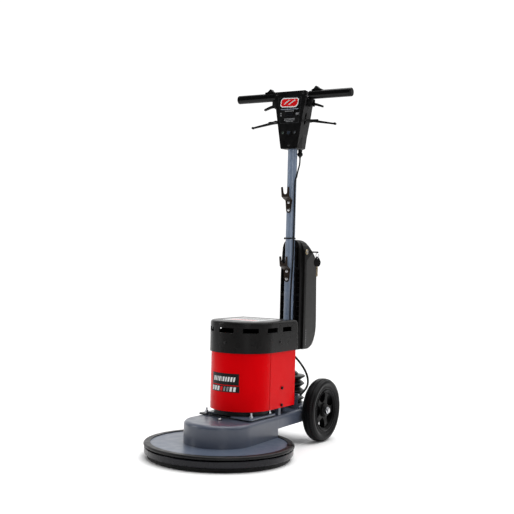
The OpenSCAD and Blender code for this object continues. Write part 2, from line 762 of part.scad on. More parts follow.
module head_shell() {
    back = 436;
    panel_back = head_y + head_panel_t;
    color([0.12, 0.12, 0.125]) difference() {
        union() {
            difference() {
                intersection() {
                    plate_xz(head_outline(0), panel_back, back);
                    plate_yz([[panel_back, head_z - 1], [427, head_z - 1], [433, head_z + 50], [back, 1080],
                        [back, head_top + 1], [panel_back, head_top + 1]], -80, 80);
                }
                intersection() {
                    plate_xz(head_outline(head_wall), panel_back - 1, back - head_wall);
                    plate_yz([[panel_back - 2, head_z], [427 - head_wall, head_z], [433 - head_wall, head_z + 50],
                        [back - head_wall, 1080], [back - head_wall, head_top], [panel_back - 2, head_top]], -80, 80);
                }
            }
            // Socket for the tube, and bosses behind the panel's upper screws
            translate([0, tube_y, head_z]) cylinder(h = 34, r = 20);
            for (p = panel_screws) if (p[1] > bar_z) rod_y(panel_back, panel_back + 8, p[0], p[1], 7);
        }
        translate([0, tube_y, head_z - 5]) cylinder(h = 80, r = tube_r);
        rod_x(-80, 80, bar_y, bar_z, bar_r);
        // Slots for the release levers and holes behind the switch levers
        for (s = [-1, 1]) {
            box([s > 0 ? 35 : -60, lever_y - 1.2, 1055], [s > 0 ? 60 : -35, lever_y + lever_t + 1.2, 1093]);
            box([s > 0 ? 45 : -58, lever_y, 1118], [s > 0 ? 58 : -45, lever_y + lever_t, 1130]);
        }
        translate([20, 419, head_z - 5]) cylinder(h = 20, r = 5);
        for (p = panel_screws) rod_y(panel_back - 5, panel_back + 5, p[0], p[1], 2.5);
    }
}

module front_panel() {
    color([0.035, 0.035, 0.035]) difference() {
        plate_xz(head_outline(-0.6), head_y, head_y + head_panel_t);
        // Recess for the label
        plate_xz([[-37, 1056], [37, 1056], [46.5, 1146], [-46.5, 1146]], head_y - 1, head_y + 0.8);
        for (p = panel_screws) rod_y(head_y - 1, head_y + 10, p[0], p[1], 2.5);
        rod_y(head_y - 1, head_y + 10, 0, button_z, button_r + fit);
    }
}

module handlebar() {
    end = bar_half - 6;
    color([0.3, 0.3, 0.31]) difference() {
        rod_x(-end, end, bar_y, bar_z, bar_r);
        rod_x(-end - 1, end + 1, bar_y, bar_z, bar_r - 2);
    }
}

module grips() {
    inner = 63;
    color([0.05, 0.05, 0.052]) for (s = [-1, 1]) difference() {
        union() {
            translate([s * inner, bar_y, bar_z]) rotate([0, 90 * s, 0]) rotate_extrude()
                polygon(concat([[0, 0], [grip_r, 0], [grip_r, bar_half - inner - 8], [grip_r - 1, bar_half - inner - 7],
                    [grip_r, bar_half - inner - 6]], arc([grip_r - 3, bar_half - inner - 3], 3, 0, 90, 4),
                    [[0, bar_half - inner]]));
            // Saddle around the thumb button
            box([s > 0 ? 73 : -107, bar_y - 10, bar_z], [s > 0 ? 107 : -73, bar_y + 10, bar_z + 17.5]);
        }
        rod_x(s > 0 ? 50 : -bar_half + 6, s > 0 ? bar_half - 6 : -50, bar_y, bar_z, bar_r);
        box([s > 0 ? 75.7 : -104.3, bar_y - 7.3, bar_z + 10], [s > 0 ? 104.3 : -75.7, bar_y + 7.3, bar_z + 20]);
    }
}

module thumb_button(s) {
    low = bar_z + 15.8;
    color([0.04, 0.04, 0.042]) scale([s, 1, 1])
        plate_xz([[76, low], [104, low], [104, low + 2.6], [98, low + 4.5], [91, low + 11], [88, low + 12.8],
            [85, low + 11.5], [79, low + 4.5], [76, low + 2.6]], bar_y - 7, bar_y + 7);
}

module lever_blocks() {
    color([0.05, 0.05, 0.052]) for (s = [-1, 1]) scale([s, 1, 1]) difference() {
        box([50, 388, 1114], [76, 412, 1137.4]);
        plate_xz(head_outline(0), 380, 420);
        box([58, lever_y - 0.2, 1110], [80, lever_y + lever_t + 0.2, 1134]);
        rod_y(380, 420, switch_x, switch_z, 2.5);
    }
}

module speed_button() {
    color([0.2, 0.3, 0.45]) rod_y(head_y - 3, head_y + 7, 0, button_z, button_r);
}

module release_lever(s) {
    color([0.045, 0.045, 0.045]) scale([s, 1, 1]) difference() {
        union() {
            plate_xz([[release_x, release_z - 6], [46, release_z - 4], [80, release_z - 6], [157, 1048.6],
                [157, 1054], [90, 1066.5], [60, 1071], [46, release_z + 4], [release_x, release_z + 4]],
                lever_y, lever_y + lever_t);
            rod_y(lever_y, lever_y + lever_t, release_x, release_z, 6);
            rod_y(lever_y, lever_y + lever_t, 158, 1051.5, 4.2);
        }
        rod_y(380, 420, release_x, release_z, 3 + fit);
    }
}

module switch_lever(s) {
    color([0.045, 0.045, 0.045]) scale([s, 1, 1]) difference() {
        union() {
            rod_y(lever_y, lever_y + lever_t, switch_x, switch_z, 5);
            plate_xz([[switch_x, switch_z - 5], [90, switch_z - 10], [111, 1107.5], [113, 1109], [113, 1114],
                [92, switch_z - 2], [switch_x, switch_z + 5]], lever_y, lever_y + lever_t);
        }
        rod_y(380, 420, switch_x, switch_z, 2.5 + fit);
    }
}

module lock_rod() {
    color([0.66, 0.66, 0.68]) {
        translate([0, tube_y, pivot_z + drum_r + 0.9]) cylinder(h = 18, r = 7);
        translate([0, tube_y, pivot_z + drum_r + 10]) cylinder(h = 1075 - pivot_z - drum_r - 10, r = 3);
        box([-26, lever_y, 1073], [26, lever_y + lever_t, 1078]);
    }
}

// ---- Battery ----

// Quarter of an ellipse about c, from the side to the top
function nose(c, w, h, n = 6) = [for (i = [0:n]) c + [w * cos(90 * i / n), h * sin(90 * i / n)]];

// Right and left halves of an outline from its right half
function both_sides(half) = concat(half, [for (i = [len(half) - 1:-1:0]) [-half[i][0], half[i][1]]]);

module battery_cradle() {
    cradle_w = 37.5;
    color([0.05, 0.05, 0.052]) difference() {
        union() {
            plate_xz(both_sides(concat([[cradle_w, battery_z], [cradle_w, 560]], nose([13, 632], 20, 36))),
                cradle_y, frame_y);
            // Rail that the battery slides on
            box([-14, frame_y, 310], [14, frame_y + 5, 640]);
            // Strain relief of the battery lead
            translate([10, 425, 286]) cylinder(h = 20, r = 5);
        }
        translate([0, tube_y, battery_z - 5]) cylinder(h = 400, r = tube_r);
        // Open pockets beside the tube
        for (s = [-1, 1]) {
            for (z = [306, 396, 486])
                box([s > 0 ? 19.5 : -34.5, cradle_y - 1, z], [s > 0 ? 34.5 : -19.5, 426, z + 82]);
            box([s > 0 ? 19.5 : -28.5, cradle_y - 1, 576], [s > 0 ? 28.5 : -19.5, 426, 640]);
        }
    }
}

// Outline of the whole battery seen from the side
battery_side = concat([[frame_y, battery_z], [462, battery_z], [478, 303], [491.5, 310], [500, 318], [506, 326],
    [513.6, 341], [518.1, 357], [520.5, 372], [520.5, 395], [517.8, 463], [515.2, 530], [515, 560],
    [513.2, 582], [509, 597], [504, 608.5], [499, 616]], arc([443, battery_top - 26], 26, 41.3, 90, 4),
    [[frame_y, battery_top]]);

// The battery's upper black part ends behind this line
battery_split = [[shell_y, battery_z - 5], [600, battery_z - 5], [600, 598], [507, 598], [489, 617],
    [478, 620], [shell_y, 598]];

module battery_body() {
    intersection() {
        plate_yz(battery_side, -battery_w, battery_w);
        plate_xz(both_sides(concat([[battery_w, battery_z]], nose([12, 598], battery_w - 12, 70))), frame_y, rear_y);
    }
}

module battery_frame() {
    color([0.055, 0.055, 0.058]) difference() {
        union() {
            difference() {
                battery_body();
                plate_yz(battery_split, -60, 60);
            }
            // Boss around the lock
            rod_x(30, battery_w, lock_y, lock_z, 11);
        }
        box([-14.3, frame_y - 1, 290], [14.3, frame_y + 5.3, 645]);
        rod_x(30, 60, lock_y, lock_z, 6 + fit);
    }
}

module battery_shell() {
    color([0.24, 0.24, 0.245]) intersection() {
        battery_body();
        plate_yz(battery_split, -60, 60);
    }
}

// Key in the lock
module battery_key() {
    color([0.78, 0.66, 0.40]) rod_x(32, battery_w + 4, lock_y, lock_z, 6);
    color([0.03, 0.03, 0.03]) difference() {
        union() {
            box([battery_w + 3, lock_y - 3.5, lock_z - 1.2], [54, lock_y + 3.5, lock_z + 1.2]);
            box([52, lock_y - 5, lock_z - 2.3], [64, lock_y + 5, lock_z + 2.3]);
            box([62, lock_y - 8, lock_z - 2.3], [75.5, lock_y + 8, lock_z + 2.3]);
            translate([75.5, lock_y, lock_z - 2.3]) cylinder(h = 4.6, r = 12);
        }
        translate([key_hole_x, lock_y, lock_z - 4]) cylinder(h = 8, r = 3.2);
    }
}

// Second key, hanging below the first one
module spare_key() {
    bow = both_sides([[6, -28], [9, -25], [13, -18], [13.5, -13], [12, -8], [7.6, -0.5], [4.6, 4.6], [1.5, 6]]);
    color([0.06, 0.06, 0.06]) translate([key_hole_x, lock_y, spare_z]) rotate([0, 0, ring_turn])
        translate([6.3, 0, 0]) difference() {
            union() {
                plate_yz(bow, -2, 2);
                box([-1, -2.9, -62.5], [1, 2.9, -20]);
                box([-1, 2, -60], [1, 4.6, -52]);
                box([-1, 2, -47], [1, 4.2, -38]);
            }
            rod_x(-5, 5, 0, 0, 2.2);
        }
}

module battery_lead() {
    color([0.03, 0.03, 0.03]) swept(lead_route, lead_r, 3, 10, [1, 0.2, 0.6]);
}

deck_plate();
bumper_ring();
gear_housing();
ball_bearings();
belt_plate();
motor_plate();
motor_studs();
motor_can();
stator_core();
motor_end_bell();
front_cover();
side_panels();
rear_panel();
cover_posts();
cover_screws();
top_cap();
controller();
drive_belt();
axle();
axle_caps();
pivot_bracket();
pivot_pin();
gaiter();
lead_gland();
spindle();
large_pulley();
drive_board();
floor_pad();
rotor();
motor_pulley();
cooling_fan();
on_wheel(-1) tyre_shape();  // tyre_left
on_wheel(-1) rim_shape();  // rim_left
on_wheel(1) tyre_shape();  // tyre_right
on_wheel(1) rim_shape();  // rim_right
handle_foot();
handle_tube();
cable_hooks();
handle_fasteners();
switch_cable();
battery_cradle();
cable_gland();
head_shell();
front_panel();
handlebar();
grips();
lever_blocks();
speed_button();
lock_rod();
release_lever(-1);  // release_lever_left
release_lever(1);  // release_lever_right
switch_lever(-1);  // switch_lever_left
switch_lever(1);  // switch_lever_right
thumb_button(-1);  // thumb_button_left
thumb_button(1);  // thumb_button_right
battery_frame();
battery_shell();
battery_key();
spare_key();
battery_lead();
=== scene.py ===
import json
import math
import random

import bmesh
import bpy
from mathutils import Matrix, Vector, noise


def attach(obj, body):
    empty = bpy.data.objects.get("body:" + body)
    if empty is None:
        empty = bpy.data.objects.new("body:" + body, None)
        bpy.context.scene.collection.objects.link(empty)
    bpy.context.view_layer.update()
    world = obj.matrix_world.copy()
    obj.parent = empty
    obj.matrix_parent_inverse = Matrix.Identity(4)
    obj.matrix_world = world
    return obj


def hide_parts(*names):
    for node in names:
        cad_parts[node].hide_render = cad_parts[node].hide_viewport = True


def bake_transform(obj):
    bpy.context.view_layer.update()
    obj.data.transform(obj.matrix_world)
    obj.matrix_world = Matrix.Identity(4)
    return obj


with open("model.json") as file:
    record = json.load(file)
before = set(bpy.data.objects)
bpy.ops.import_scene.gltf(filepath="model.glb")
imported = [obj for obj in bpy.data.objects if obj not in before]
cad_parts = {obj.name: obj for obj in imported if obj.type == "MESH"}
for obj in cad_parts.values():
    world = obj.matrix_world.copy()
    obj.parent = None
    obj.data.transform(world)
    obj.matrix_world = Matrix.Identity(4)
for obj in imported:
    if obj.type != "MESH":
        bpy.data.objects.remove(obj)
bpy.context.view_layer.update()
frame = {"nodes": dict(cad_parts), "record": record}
NODES = frame["nodes"]
scene = bpy.context.scene
random.seed(7)

# Where the handle's tube and the wheels' axle stand, in mm
TUBE_Y, AXLE_Y = 403, 427


def m(*values):
    """Millimetres to metres, as one number or a tuple."""
    scaled = tuple(v / 1000 for v in values)
    return scaled[0] if len(scaled) == 1 else scaled


# ---------------------------------------------------------------- camera

YAW, PITCH, ROLL = math.radians(31.42), math.radians(0.03), math.radians(1.54)
CAMERA_PLACE = (1.583505, -2.401805, 0.608072)
LENS_MM, SENSOR_MM = 66.77, 36


def make_camera():
    forward = Vector((-math.sin(YAW) * math.cos(PITCH), math.cos(YAW) * math.cos(PITCH),
                      -math.sin(PITCH)))
    right = Vector((math.cos(YAW), math.sin(YAW), 0))
    up = right.cross(forward)
    x = math.cos(ROLL) * right + math.sin(ROLL) * up
    y = math.cos(ROLL) * up - math.sin(ROLL) * right
    data = bpy.data.cameras.new("camera")
    data.lens, data.sensor_width = LENS_MM, SENSOR_MM
    data.clip_start, data.clip_end = 0.05, 100
    camera = bpy.data.objects.new("camera", data)
    turn = Matrix((x, y, -forward)).transposed().to_4x4()
    camera.matrix_world = Matrix.Translation(CAMERA_PLACE) @ turn
    scene.collection.objects.link(camera)
    scene.camera = camera


make_camera()


# ---------------------------------------------------------------- mesh tools

def link(name, mesh, smooth=True):
    o = bpy.data.objects.new(name, mesh)
    scene.collection.objects.link(o)
    if smooth:
        mesh.shade_smooth()
    return o


def mesh_object(name, verts, faces, smooth=True):
    mesh = bpy.data.meshes.new(name)
    mesh.from_pydata(verts, [], faces)
    mesh.validate()
    tidy = bmesh.new()
    tidy.from_mesh(mesh)
    bmesh.ops.recalc_face_normals(tidy, faces=tidy.faces)
    tidy.to_mesh(mesh)
    tidy.free()
    return link(name, mesh, smooth)


def sharp_edges(o, degrees=35):
    o.data.set_sharp_from_angle(angle=math.radians(degrees))
    return o


def soften(o, width):
    """Rounds the edges of a CAD node with a bevel modifier."""
    b = o.modifiers.new("edge", "BEVEL")
    b.width, b.segments, b.limit_method = width, 2, "ANGLE"
    b.angle_limit = math.radians(40)
    b.harden_normals = False


def smooth_route(points, steps):
    """Points on a Catmull-Rom curve through the given ones."""
    p = [Vector(q) for q in points]
    p = [p[0], *p, p[-1]]
    out = []
    for i in range(1, len(p) - 2):
        for k in range(steps):
            t = k / steps
            a, b, c, d = p[i - 1:i + 3]
            out.append(0.5 * (2 * b + (c - a) * t + (2 * a - 5 * b + 4 * c - d) * t ** 2
                              + (3 * b - a - 3 * c + d) * t ** 3))
    return out + [p[-2]]


def tube(name, path, radius, sides=16):
    """Round tube along a path, with flat ends."""
    verts, faces = [], []
    across = Vector((0.31, 0.83, 0.46)).normalized()
    for i, q in enumerate(path):
        along = (path[min(i + 1, len(path) - 1)] - path[max(i - 1, 0)]).normalized()
        across = (across - along * across.dot(along)).normalized()
        other = along.cross(across)
        for k in range(sides):
            a = 2 * math.pi * k / sides
            verts.append(q + radius * (math.cos(a) * across + math.sin(a) * other))
    for i in range(len(path) - 1):
        for k in range(sides):
            n = (k + 1) % sides
            faces.append((i * sides + k, (i + 1) * sides + k, (i + 1) * sides + n, i * sides + n))
    faces.append(tuple(range(sides)))
    faces.append(tuple(range((len(path) - 1) * sides, len(path) * sides)))
    return sharp_edges(mesh_object(name, verts, faces), 60)


def lathe(name, profile, place=None, segments=96, shape=None):
    """Closed profile of (radius, height) pairs in mm, turned round Z.

    shape(r, h, a) may move a point, and works in metres and radians.
    """
    verts, faces = [], []
    for k in range(segments):
        a = 2 * math.pi * k / segments
        for point in profile:
            r, h = m(*point)
            r2, h2 = shape(r, h, a) if shape else (r, h)
            verts.append((r2 * math.cos(a), r2 * math.sin(a), h2))
    n = len(profile)
    for k in range(segments):
        k2 = (k + 1) % segments
        for j in range(n):
            j2 = (j + 1) % n
            faces.append((k * n + j, k2 * n + j, k2 * n + j2, k * n + j2))
    mesh = bpy.data.meshes.new(name)
    mesh.from_pydata(verts, [], faces)
    b = bmesh.new()
    b.from_mesh(mesh)
    bmesh.ops.remove_doubles(b, verts=b.verts, dist=1e-7)
    bmesh.ops.dissolve_degenerate(b, dist=1e-7, edges=b.edges)
    bmesh.ops.recalc_face_normals(b, faces=b.faces)
    b.to_mesh(mesh)
    b.free()
    if place is not None:
        mesh.transform(place)
    return sharp_edges(link(name, mesh), 40)


def prism(name, outline, low, high, place=None, bevel=0.0, segments=2):
    """Flat outline of (x, y) pairs between two heights, with its edges rounded. All in mm."""
    b = bmesh.new()
    bottom = [b.verts.new(m(x, y, low)) for x, y in outline]
    top = [b.verts.new(m(x, y, high)) for x, y in outline]
    b.faces.new(bottom[::-1])
    b.faces.new(top)
    for i in range(len(outline)):
        j = (i + 1) % len(outline)
        b.faces.new((bottom[i], bottom[j], top[j], top[i]))
    bmesh.ops.recalc_face_normals(b, faces=b.faces)
    if bevel:
        edges = [e for e in b.edges if len(e.link_faces) == 2 and e.calc_face_angle() > 0.6]
        bmesh.ops.bevel(b, geom=edges, offset=m(bevel), segments=segments, affect="EDGES",
                        clamp_overlap=True)
    mesh = bpy.data.meshes.new(name)
    b.to_mesh(mesh)
    b.free()
    if place is not None:
        mesh.transform(place)
    return sharp_edges(link(name, mesh), 35)


def round_rect(x0, y0, x1, y1, r, n=5):
    points = []
    corners = ((x1 - r, y0 + r, -90), (x1 - r, y1 - r, 0), (x0 + r, y1 - r, 90), (x0 + r, y0 + r, 180))
    for cx, cy, start in corners:
        for k in range(n + 1):
            a = math.radians(start + 90 * k / n)
            points.append((cx + r * math.cos(a), cy + r * math.sin(a)))
    return points


def disc(cx, cy, r, n=32):
    turns = [2 * math.pi * k / n for k in range(n)]
    return [(cx + r * math.cos(a), cy + r * math.sin(a)) for a in turns]


def arc(cx, cy, r, start, end, n=8):
    return [(cx + r * math.cos(math.radians(start + (end - start) * k / n)),
             cy + r * math.sin(math.radians(start + (end - start) * k / n))) for k in range(n + 1)]


def join(name, objects):
    """One object from several, with their materials kept."""
    bpy.ops.object.select_all(action="DESELECT")
    for o in objects:
        o.select_set(True)
    bpy.context.view_layer.objects.active = objects[0]
    if len(objects) > 1:
        bpy.ops.object.join()
    objects[0].name = name
    objects[0].data.name = name
    return objects[0]


def cut(o, cutter):
    """Takes the cutter's shape out of o, and removes the cutter."""
    b = o.modifiers.new("cut", "BOOLEAN")
    b.operation, b.solver, b.object = "DIFFERENCE", "EXACT", cutter
    bpy.context.view_layer.objects.active = o
    bpy.ops.object.modifier_apply(modifier=b.name)
    bpy.data.objects.remove(cutter)
    sharp_edges(o, 35)


# Places: a prism's outline lies in the XZ plane seen from the front, or in the YZ plane seen from +X
def front_place(y):
    return Matrix(((1, 0, 0, 0), (0, 0, -1, m(y)), (0, 1, 0, 0), (0, 0, 0, 1)))


def side_place(x):
    return Matrix(((0, 0, 1, m(x)), (1, 0, 0, 0), (0, 1, 0, 0), (0, 0, 0, 1)))


# ---------------------------------------------------------------- materials

MATERIALS = {}


def make_material(name, colour, rough, metal=0.0, shade=0.10, shade_scale=14, grain=0.25,
                  grain_scale=700, grain_depth=0.0002, rough_spread=0.12, coat=0.0, coat_rough=0.1,
                  worn=None, worn_share=0.5, edge=0.0006, sheen=0.0, specular=0.2, tint=None,
                  fibres=False, rings=None, black_above=None):
    """Principled material with uneven colour and gloss, a fine bump, and worn, rounded edges.

    worn is the colour of the worn edges, fibres and rings change the bump, and above the height
    black_above the material is black plastic.
    """
    mat = bpy.data.materials.new(name)
    mat.use_nodes = True
    t = mat.node_tree
    n, l = t.nodes, t.links
    bsdf = n["Principled BSDF"]
    place = n.new("ShaderNodeTexCoord").outputs["Object"]

    def noise_of(scale, detail, distortion=0.0):
        k = n.new("ShaderNodeTexNoise")
        k.inputs["Scale"].default_value = scale
        k.inputs["Detail"].default_value = detail
        k.inputs["Distortion"].default_value = distortion
        l.new(place, k.inputs["Vector"])
        return k.outputs["Fac"]

    def spread(value, low, high, from_low=0.3, from_high=0.7):
        k = n.new("ShaderNodeMapRange")
        for i, v in enumerate((from_low, from_high, low, high)):
            k.inputs[i + 1].default_value = v
        l.new(value, k.inputs[0])
        return k.outputs[0]

    def mixed(share, a, b):
        k = n.new("ShaderNodeMix")
        k.data_type = "RGBA"
        l.new(share, k.inputs[0])
        for socket, value in ((k.inputs[6], a), (k.inputs[7], b)):
            if isinstance(value, tuple):
                socket.default_value = value
            else:
                l.new(value, socket)
        return k.outputs[2]

    def product(a, b):
        k = n.new("ShaderNodeMath")
        k.operation = "MULTIPLY"
        l.new(a, k.inputs[0])
        l.new(b, k.inputs[1])
        return k.outputs[0]

    dark = tuple(c * (1 - shade) for c in colour) + (1,)
    light = tuple(min(1, c * (1 + shade)) for c in colour) + (1,)
    cloud = noise_of(shade_scale, 4)
    base = mixed(spread(cloud, 0, 1), dark, light)
    rough_value = spread(noise_of(shade_scale * 2.7, 5), max(0.02, rough - rough_spread),
                         min(1, rough + rough_spread))
    bevel = n.new("ShaderNodeBevel")
    bevel.samples = 3
    bevel.inputs["Radius"].default_value = edge
    height = noise_of(grain_scale, 3, 0.4)
    if fibres:
        strands = noise_of(grain_scale * 0.45, 6, 5.0)
        height = product(height, strands)
        pale = tuple(min(1, c * 3 + 0.012) for c in colour) + (1,)
        base = mixed(spread(strands, 0, 0.55, 0.45, 0.75), base, pale)
    if rings:
        k = n.new("ShaderNodeTexWave")
        k.wave_type, k.bands_direction = "BANDS", rings[0]
        k.inputs["Scale"].default_value = rings[1]
        k.inputs["Distortion"].default_value = 0.6
        k.inputs["Detail"].default_value = 2
        l.new(place, k.inputs["Vector"])
        height = product(height, k.outputs["Fac"])
    bump = n.new("ShaderNodeBump")
    bump.inputs["Strength"].default_value = grain
    bump.inputs["Distance"].default_value = grain_depth
    l.new(height, bump.inputs["Height"])
    l.new(bevel.outputs[0], bump.inputs["Normal"])
    l.new(bump.outputs[0], bsdf.inputs["Normal"])
    if worn:
        geometry = n.new("ShaderNodeNewGeometry")
        dot = n.new("ShaderNodeVectorMath")
        dot.operation = "DOT_PRODUCT"
        l.new(bevel.outputs[0], dot.inputs[0])
        l.new(geometry.outputs["Normal"], dot.inputs[1])
        at_edge = spread(dot.outputs["Value"], worn_share, 0, 0.75, 0.93)
        patchy = spread(noise_of(55, 6), 0, 1, 0.40, 0.62)
        base = mixed(product(at_edge, patchy), base, worn + (1,))
    bsdf.inputs["Metallic"].default_value = metal
    if black_above:
        parts = n.new("ShaderNodeSeparateXYZ")
        l.new(place, parts.inputs[0])
        high = spread(parts.outputs["Z"], 0, 1, black_above, black_above + 0.001)
        base = mixed(high, base, (0.012, 0.012, 0.012, 1))
        l.new(spread(high, metal, 0, 0, 1), bsdf.inputs["Metallic"])
    l.new(base, bsdf.inputs["Base Color"])
    l.new(rough_value, bsdf.inputs["Roughness"])
    bsdf.inputs["Coat Weight"].default_value = coat
    bsdf.inputs["Coat Roughness"].default_value = coat_rough
    bsdf.inputs["Sheen Weight"].default_value = sheen
    bsdf.inputs["Specular IOR Level"].default_value = specular
    if tint:
        bsdf.inputs["Specular Tint"].default_value = tint + (1,)
    MATERIALS[name] = mat


# Colours are linear and depths are in metres. A specular of 0.5 is the gloss of a plain dielectric
make_material("deck_paint", (0.078, 0.098, 0.140), 0.34, shade=0.04, grain=0.12, grain_scale=1500,
              grain_depth=0.0001, rough_spread=0.05, coat=0.12, coat_rough=0.25, specular=0.5,
              worn=(0.22, 0.23, 0.25), worn_share=0.3, edge=0.0012)
make_material("casting_paint", (0.062, 0.074, 0.106), 0.33, shade=0.04, grain=0.12, grain_scale=1300,
              grain_depth=0.0001, rough_spread=0.05, coat=0.15, coat_rough=0.22, specular=0.5, edge=0.0)
make_material("cover_red", (0.66, 0.0010, 0.0035), 0.24, shade=0.03, grain=0.08, grain_scale=1600,
              grain_depth=0.00006, rough_spread=0.04, worn=(0.80, 0.06, 0.05), worn_share=0.2,
              specular=0.06, tint=(1.0, 0.12, 0.12), edge=0.0008)
make_material("panel_black", (0.008, 0.008, 0.0086), 0.42, grain=0.3, grain_scale=500,
              worn=(0.08, 0.08, 0.08))
make_material("cap_plastic", (0.0075, 0.0071, 0.0070), 0.29, shade=0.12, grain=0.25, grain_scale=1100,
              grain_depth=0.0001, rough_spread=0.05, specular=0.14, edge=0.0)
make_material("head_plastic", (0.030, 0.0296, 0.030), 0.38, shade=0.12, grain=0.3, grain_scale=1100,
              grain_depth=0.0001, worn=(0.05, 0.05, 0.05), specular=0.25, edge=0.001)
make_material("panel_plastic", (0.0034, 0.0034, 0.0036), 0.33, grain=0.25, grain_scale=900, specular=0.09,
              worn=(0.03, 0.03, 0.03), edge=0.0008)
make_material("lever_plastic", (0.0040, 0.0040, 0.0042), 0.38, grain=0.4, grain_scale=900, specular=0.15,
              worn=(0.035, 0.035, 0.035), edge=0.001)
make_material("tube_paint", (0.172, 0.220, 0.305), 0.27, shade=0.05, grain=0.08, grain_scale=900,
              grain_depth=0.0001, rough_spread=0.04, coat=0.3, coat_rough=0.16, specular=0.5, edge=0.0)
make_material("steel", (0.56, 0.56, 0.57), 0.32, metal=1.0, grain=0.2, grain_scale=600, edge=0.0003)
make_material("zinc", (0.50, 0.51, 0.54), 0.30, metal=1.0, grain=0.15, grain_scale=500, edge=0.0004)
make_material("fastener_zinc", (0.62, 0.62, 0.64), 0.28, metal=1.0, grain=0.15, grain_scale=500,
              edge=0.0004, black_above=0.95)
make_material("bright_zinc", (0.92, 0.92, 0.93), 0.35, metal=0.6, shade=0.03, grain=0.1, edge=0.0003,
              specular=0.5)
make_material("screw_black", (0.0035, 0.0035, 0.0037), 0.35, grain=0.2, specular=0.2, edge=0.0004)
make_material("grip_rubber", (0.0022, 0.0022, 0.0024), 0.16, shade=0.2, grain=0.04, grain_scale=800,
              grain_depth=0.0001, rough_spread=0.03, specular=0.18, edge=0.0005)
make_material("black_steel", (0.026, 0.018, 0.014), 0.34, metal=0.5, shade=0.25, shade_scale=60, grain=0.3,
              grain_scale=500, worn=(0.22, 0.17, 0.12), edge=0.0007)
make_material("plate_steel", (0.018, 0.019, 0.023), 0.42, metal=0.2, shade=0.15, grain=0.3, grain_scale=420,
              worn=(0.12, 0.12, 0.13), edge=0.0006)
make_material("aluminium", (0.42, 0.43, 0.44), 0.45, metal=1.0, grain=0.5, grain_scale=300, edge=0.0006)
make_material("iron", (0.014, 0.014, 0.015), 0.5, metal=0.1, shade=0.3, grain=0.7, grain_scale=260,
              grain_depth=0.0004, worn=(0.1, 0.1, 0.1))
make_material("copper", (0.42, 0.17, 0.07), 0.35, metal=0.9, grain=0.6, grain_scale=300, rings=("Z", 260))
make_material("brass", (0.60, 0.49, 0.32), 0.26, metal=1.0, grain=0.15, grain_scale=800, edge=0.0003)
make_material("rubber", (0.0050, 0.0050, 0.0053), 0.36, shade=0.2, grain=0.15, grain_scale=500,
              grain_depth=0.0001, rough_spread=0.08, worn=(0.022, 0.022, 0.022), worn_share=0.4)
make_material("tyre", (0.0038, 0.0038, 0.0043), 0.36, shade=0.25, grain=0.2, grain_scale=420,
              rough_spread=0.08, worn=(0.022, 0.022, 0.022), specular=0.13)
make_material("rim_plastic", (0.0026, 0.0026, 0.0028), 0.36, grain=0.3, grain_scale=600, specular=0.09,
              worn=(0.025, 0.025, 0.025), edge=0.001)
make_material("board_plastic", (0.0060, 0.0058, 0.0088), 0.28, shade=0.18, grain=0.12, grain_scale=420,
              rough_spread=0.05, coat=0.08, coat_rough=0.2, worn=(0.04, 0.04, 0.045), edge=0.001)
make_material("pad_fibre", (0.0050, 0.0050, 0.0053), 0.92, shade=0.3, shade_scale=40, grain=1.0,
              grain_scale=520, grain_depth=0.0018, sheen=0.15, fibres=True)
make_material("battery_plastic", (0.0065, 0.0063, 0.0065), 0.42, grain=0.4, grain_scale=1000, specular=0.12,
              worn=(0.035, 0.035, 0.035), edge=0.001)
make_material("battery_grey", (0.035, 0.0345, 0.034), 0.42, metal=0.15, shade=0.08, grain=0.35,
              grain_scale=900, worn=(0.12, 0.12, 0.12), edge=0.001)
make_material("button_plastic", (0.016, 0.024, 0.038), 0.20, grain=0.1, coat=0.5, specular=0.5)
make_material("label_black", (0.0042, 0.0042, 0.0044), 0.28, shade=0.06, grain=0.1, grain_scale=300,
              specular=0.15)
make_material("label_white", (0.78, 0.78, 0.78), 0.4, grain=0.1, shade=0.04)
make_material("label_blue", (0.26, 0.30, 0.38), 0.4, grain=0.1, shade=0.06)
make_material("label_dim", (0.06, 0.062, 0.066), 0.4, grain=0.1, shade=0.06)
# The pale plate on the cap's top: partly a label, partly a painted reflection of the bright backdrop
make_material("pale_label_and_reflection", (0.60, 0.60, 0.60), 0.35, grain=0.1, shade=0.04, specular=0.3)
make_material("label_red", (0.70, 0.004, 0.008), 0.32, grain=0.1, shade=0.04, specular=0.15)
make_material("label_grey", (0.22, 0.225, 0.235), 0.4, grain=0.1, shade=0.06)
make_material("window_gloss", (0.004, 0.0045, 0.006), 0.10, grain=0.03, rough_spread=0.03, coat=0.5,
              coat_rough=0.04)
for lamp, colour in (("lamp_green", (0.006, 0.028, 0.016)), ("lamp_blue", (0.010, 0.014, 0.022))):
    make_material(lamp, colour, 0.12, grain=0.05, rough_spread=0.03, coat=0.6, specular=0.5)
make_material("earth_wire", (0.50, 0.52, 0.02), 0.42, shade=0.45, shade_scale=90, grain=0.15)


def paint(o, *names):
    """Gives a piece its materials, in the order of its slots."""
    if o.type == "MESH" and len(names) == 1:
        o.data.materials.clear()
    for name in names:
        o.data.materials.append(MATERIALS[name])
    return o


def finish_piece(o, body, slot, *names, stands_for=()):
    paint(o, *names)
    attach(o, body)
    if stands_for:
        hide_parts(*stands_for)
    return o


# ---------------------------------------------------------------- cords

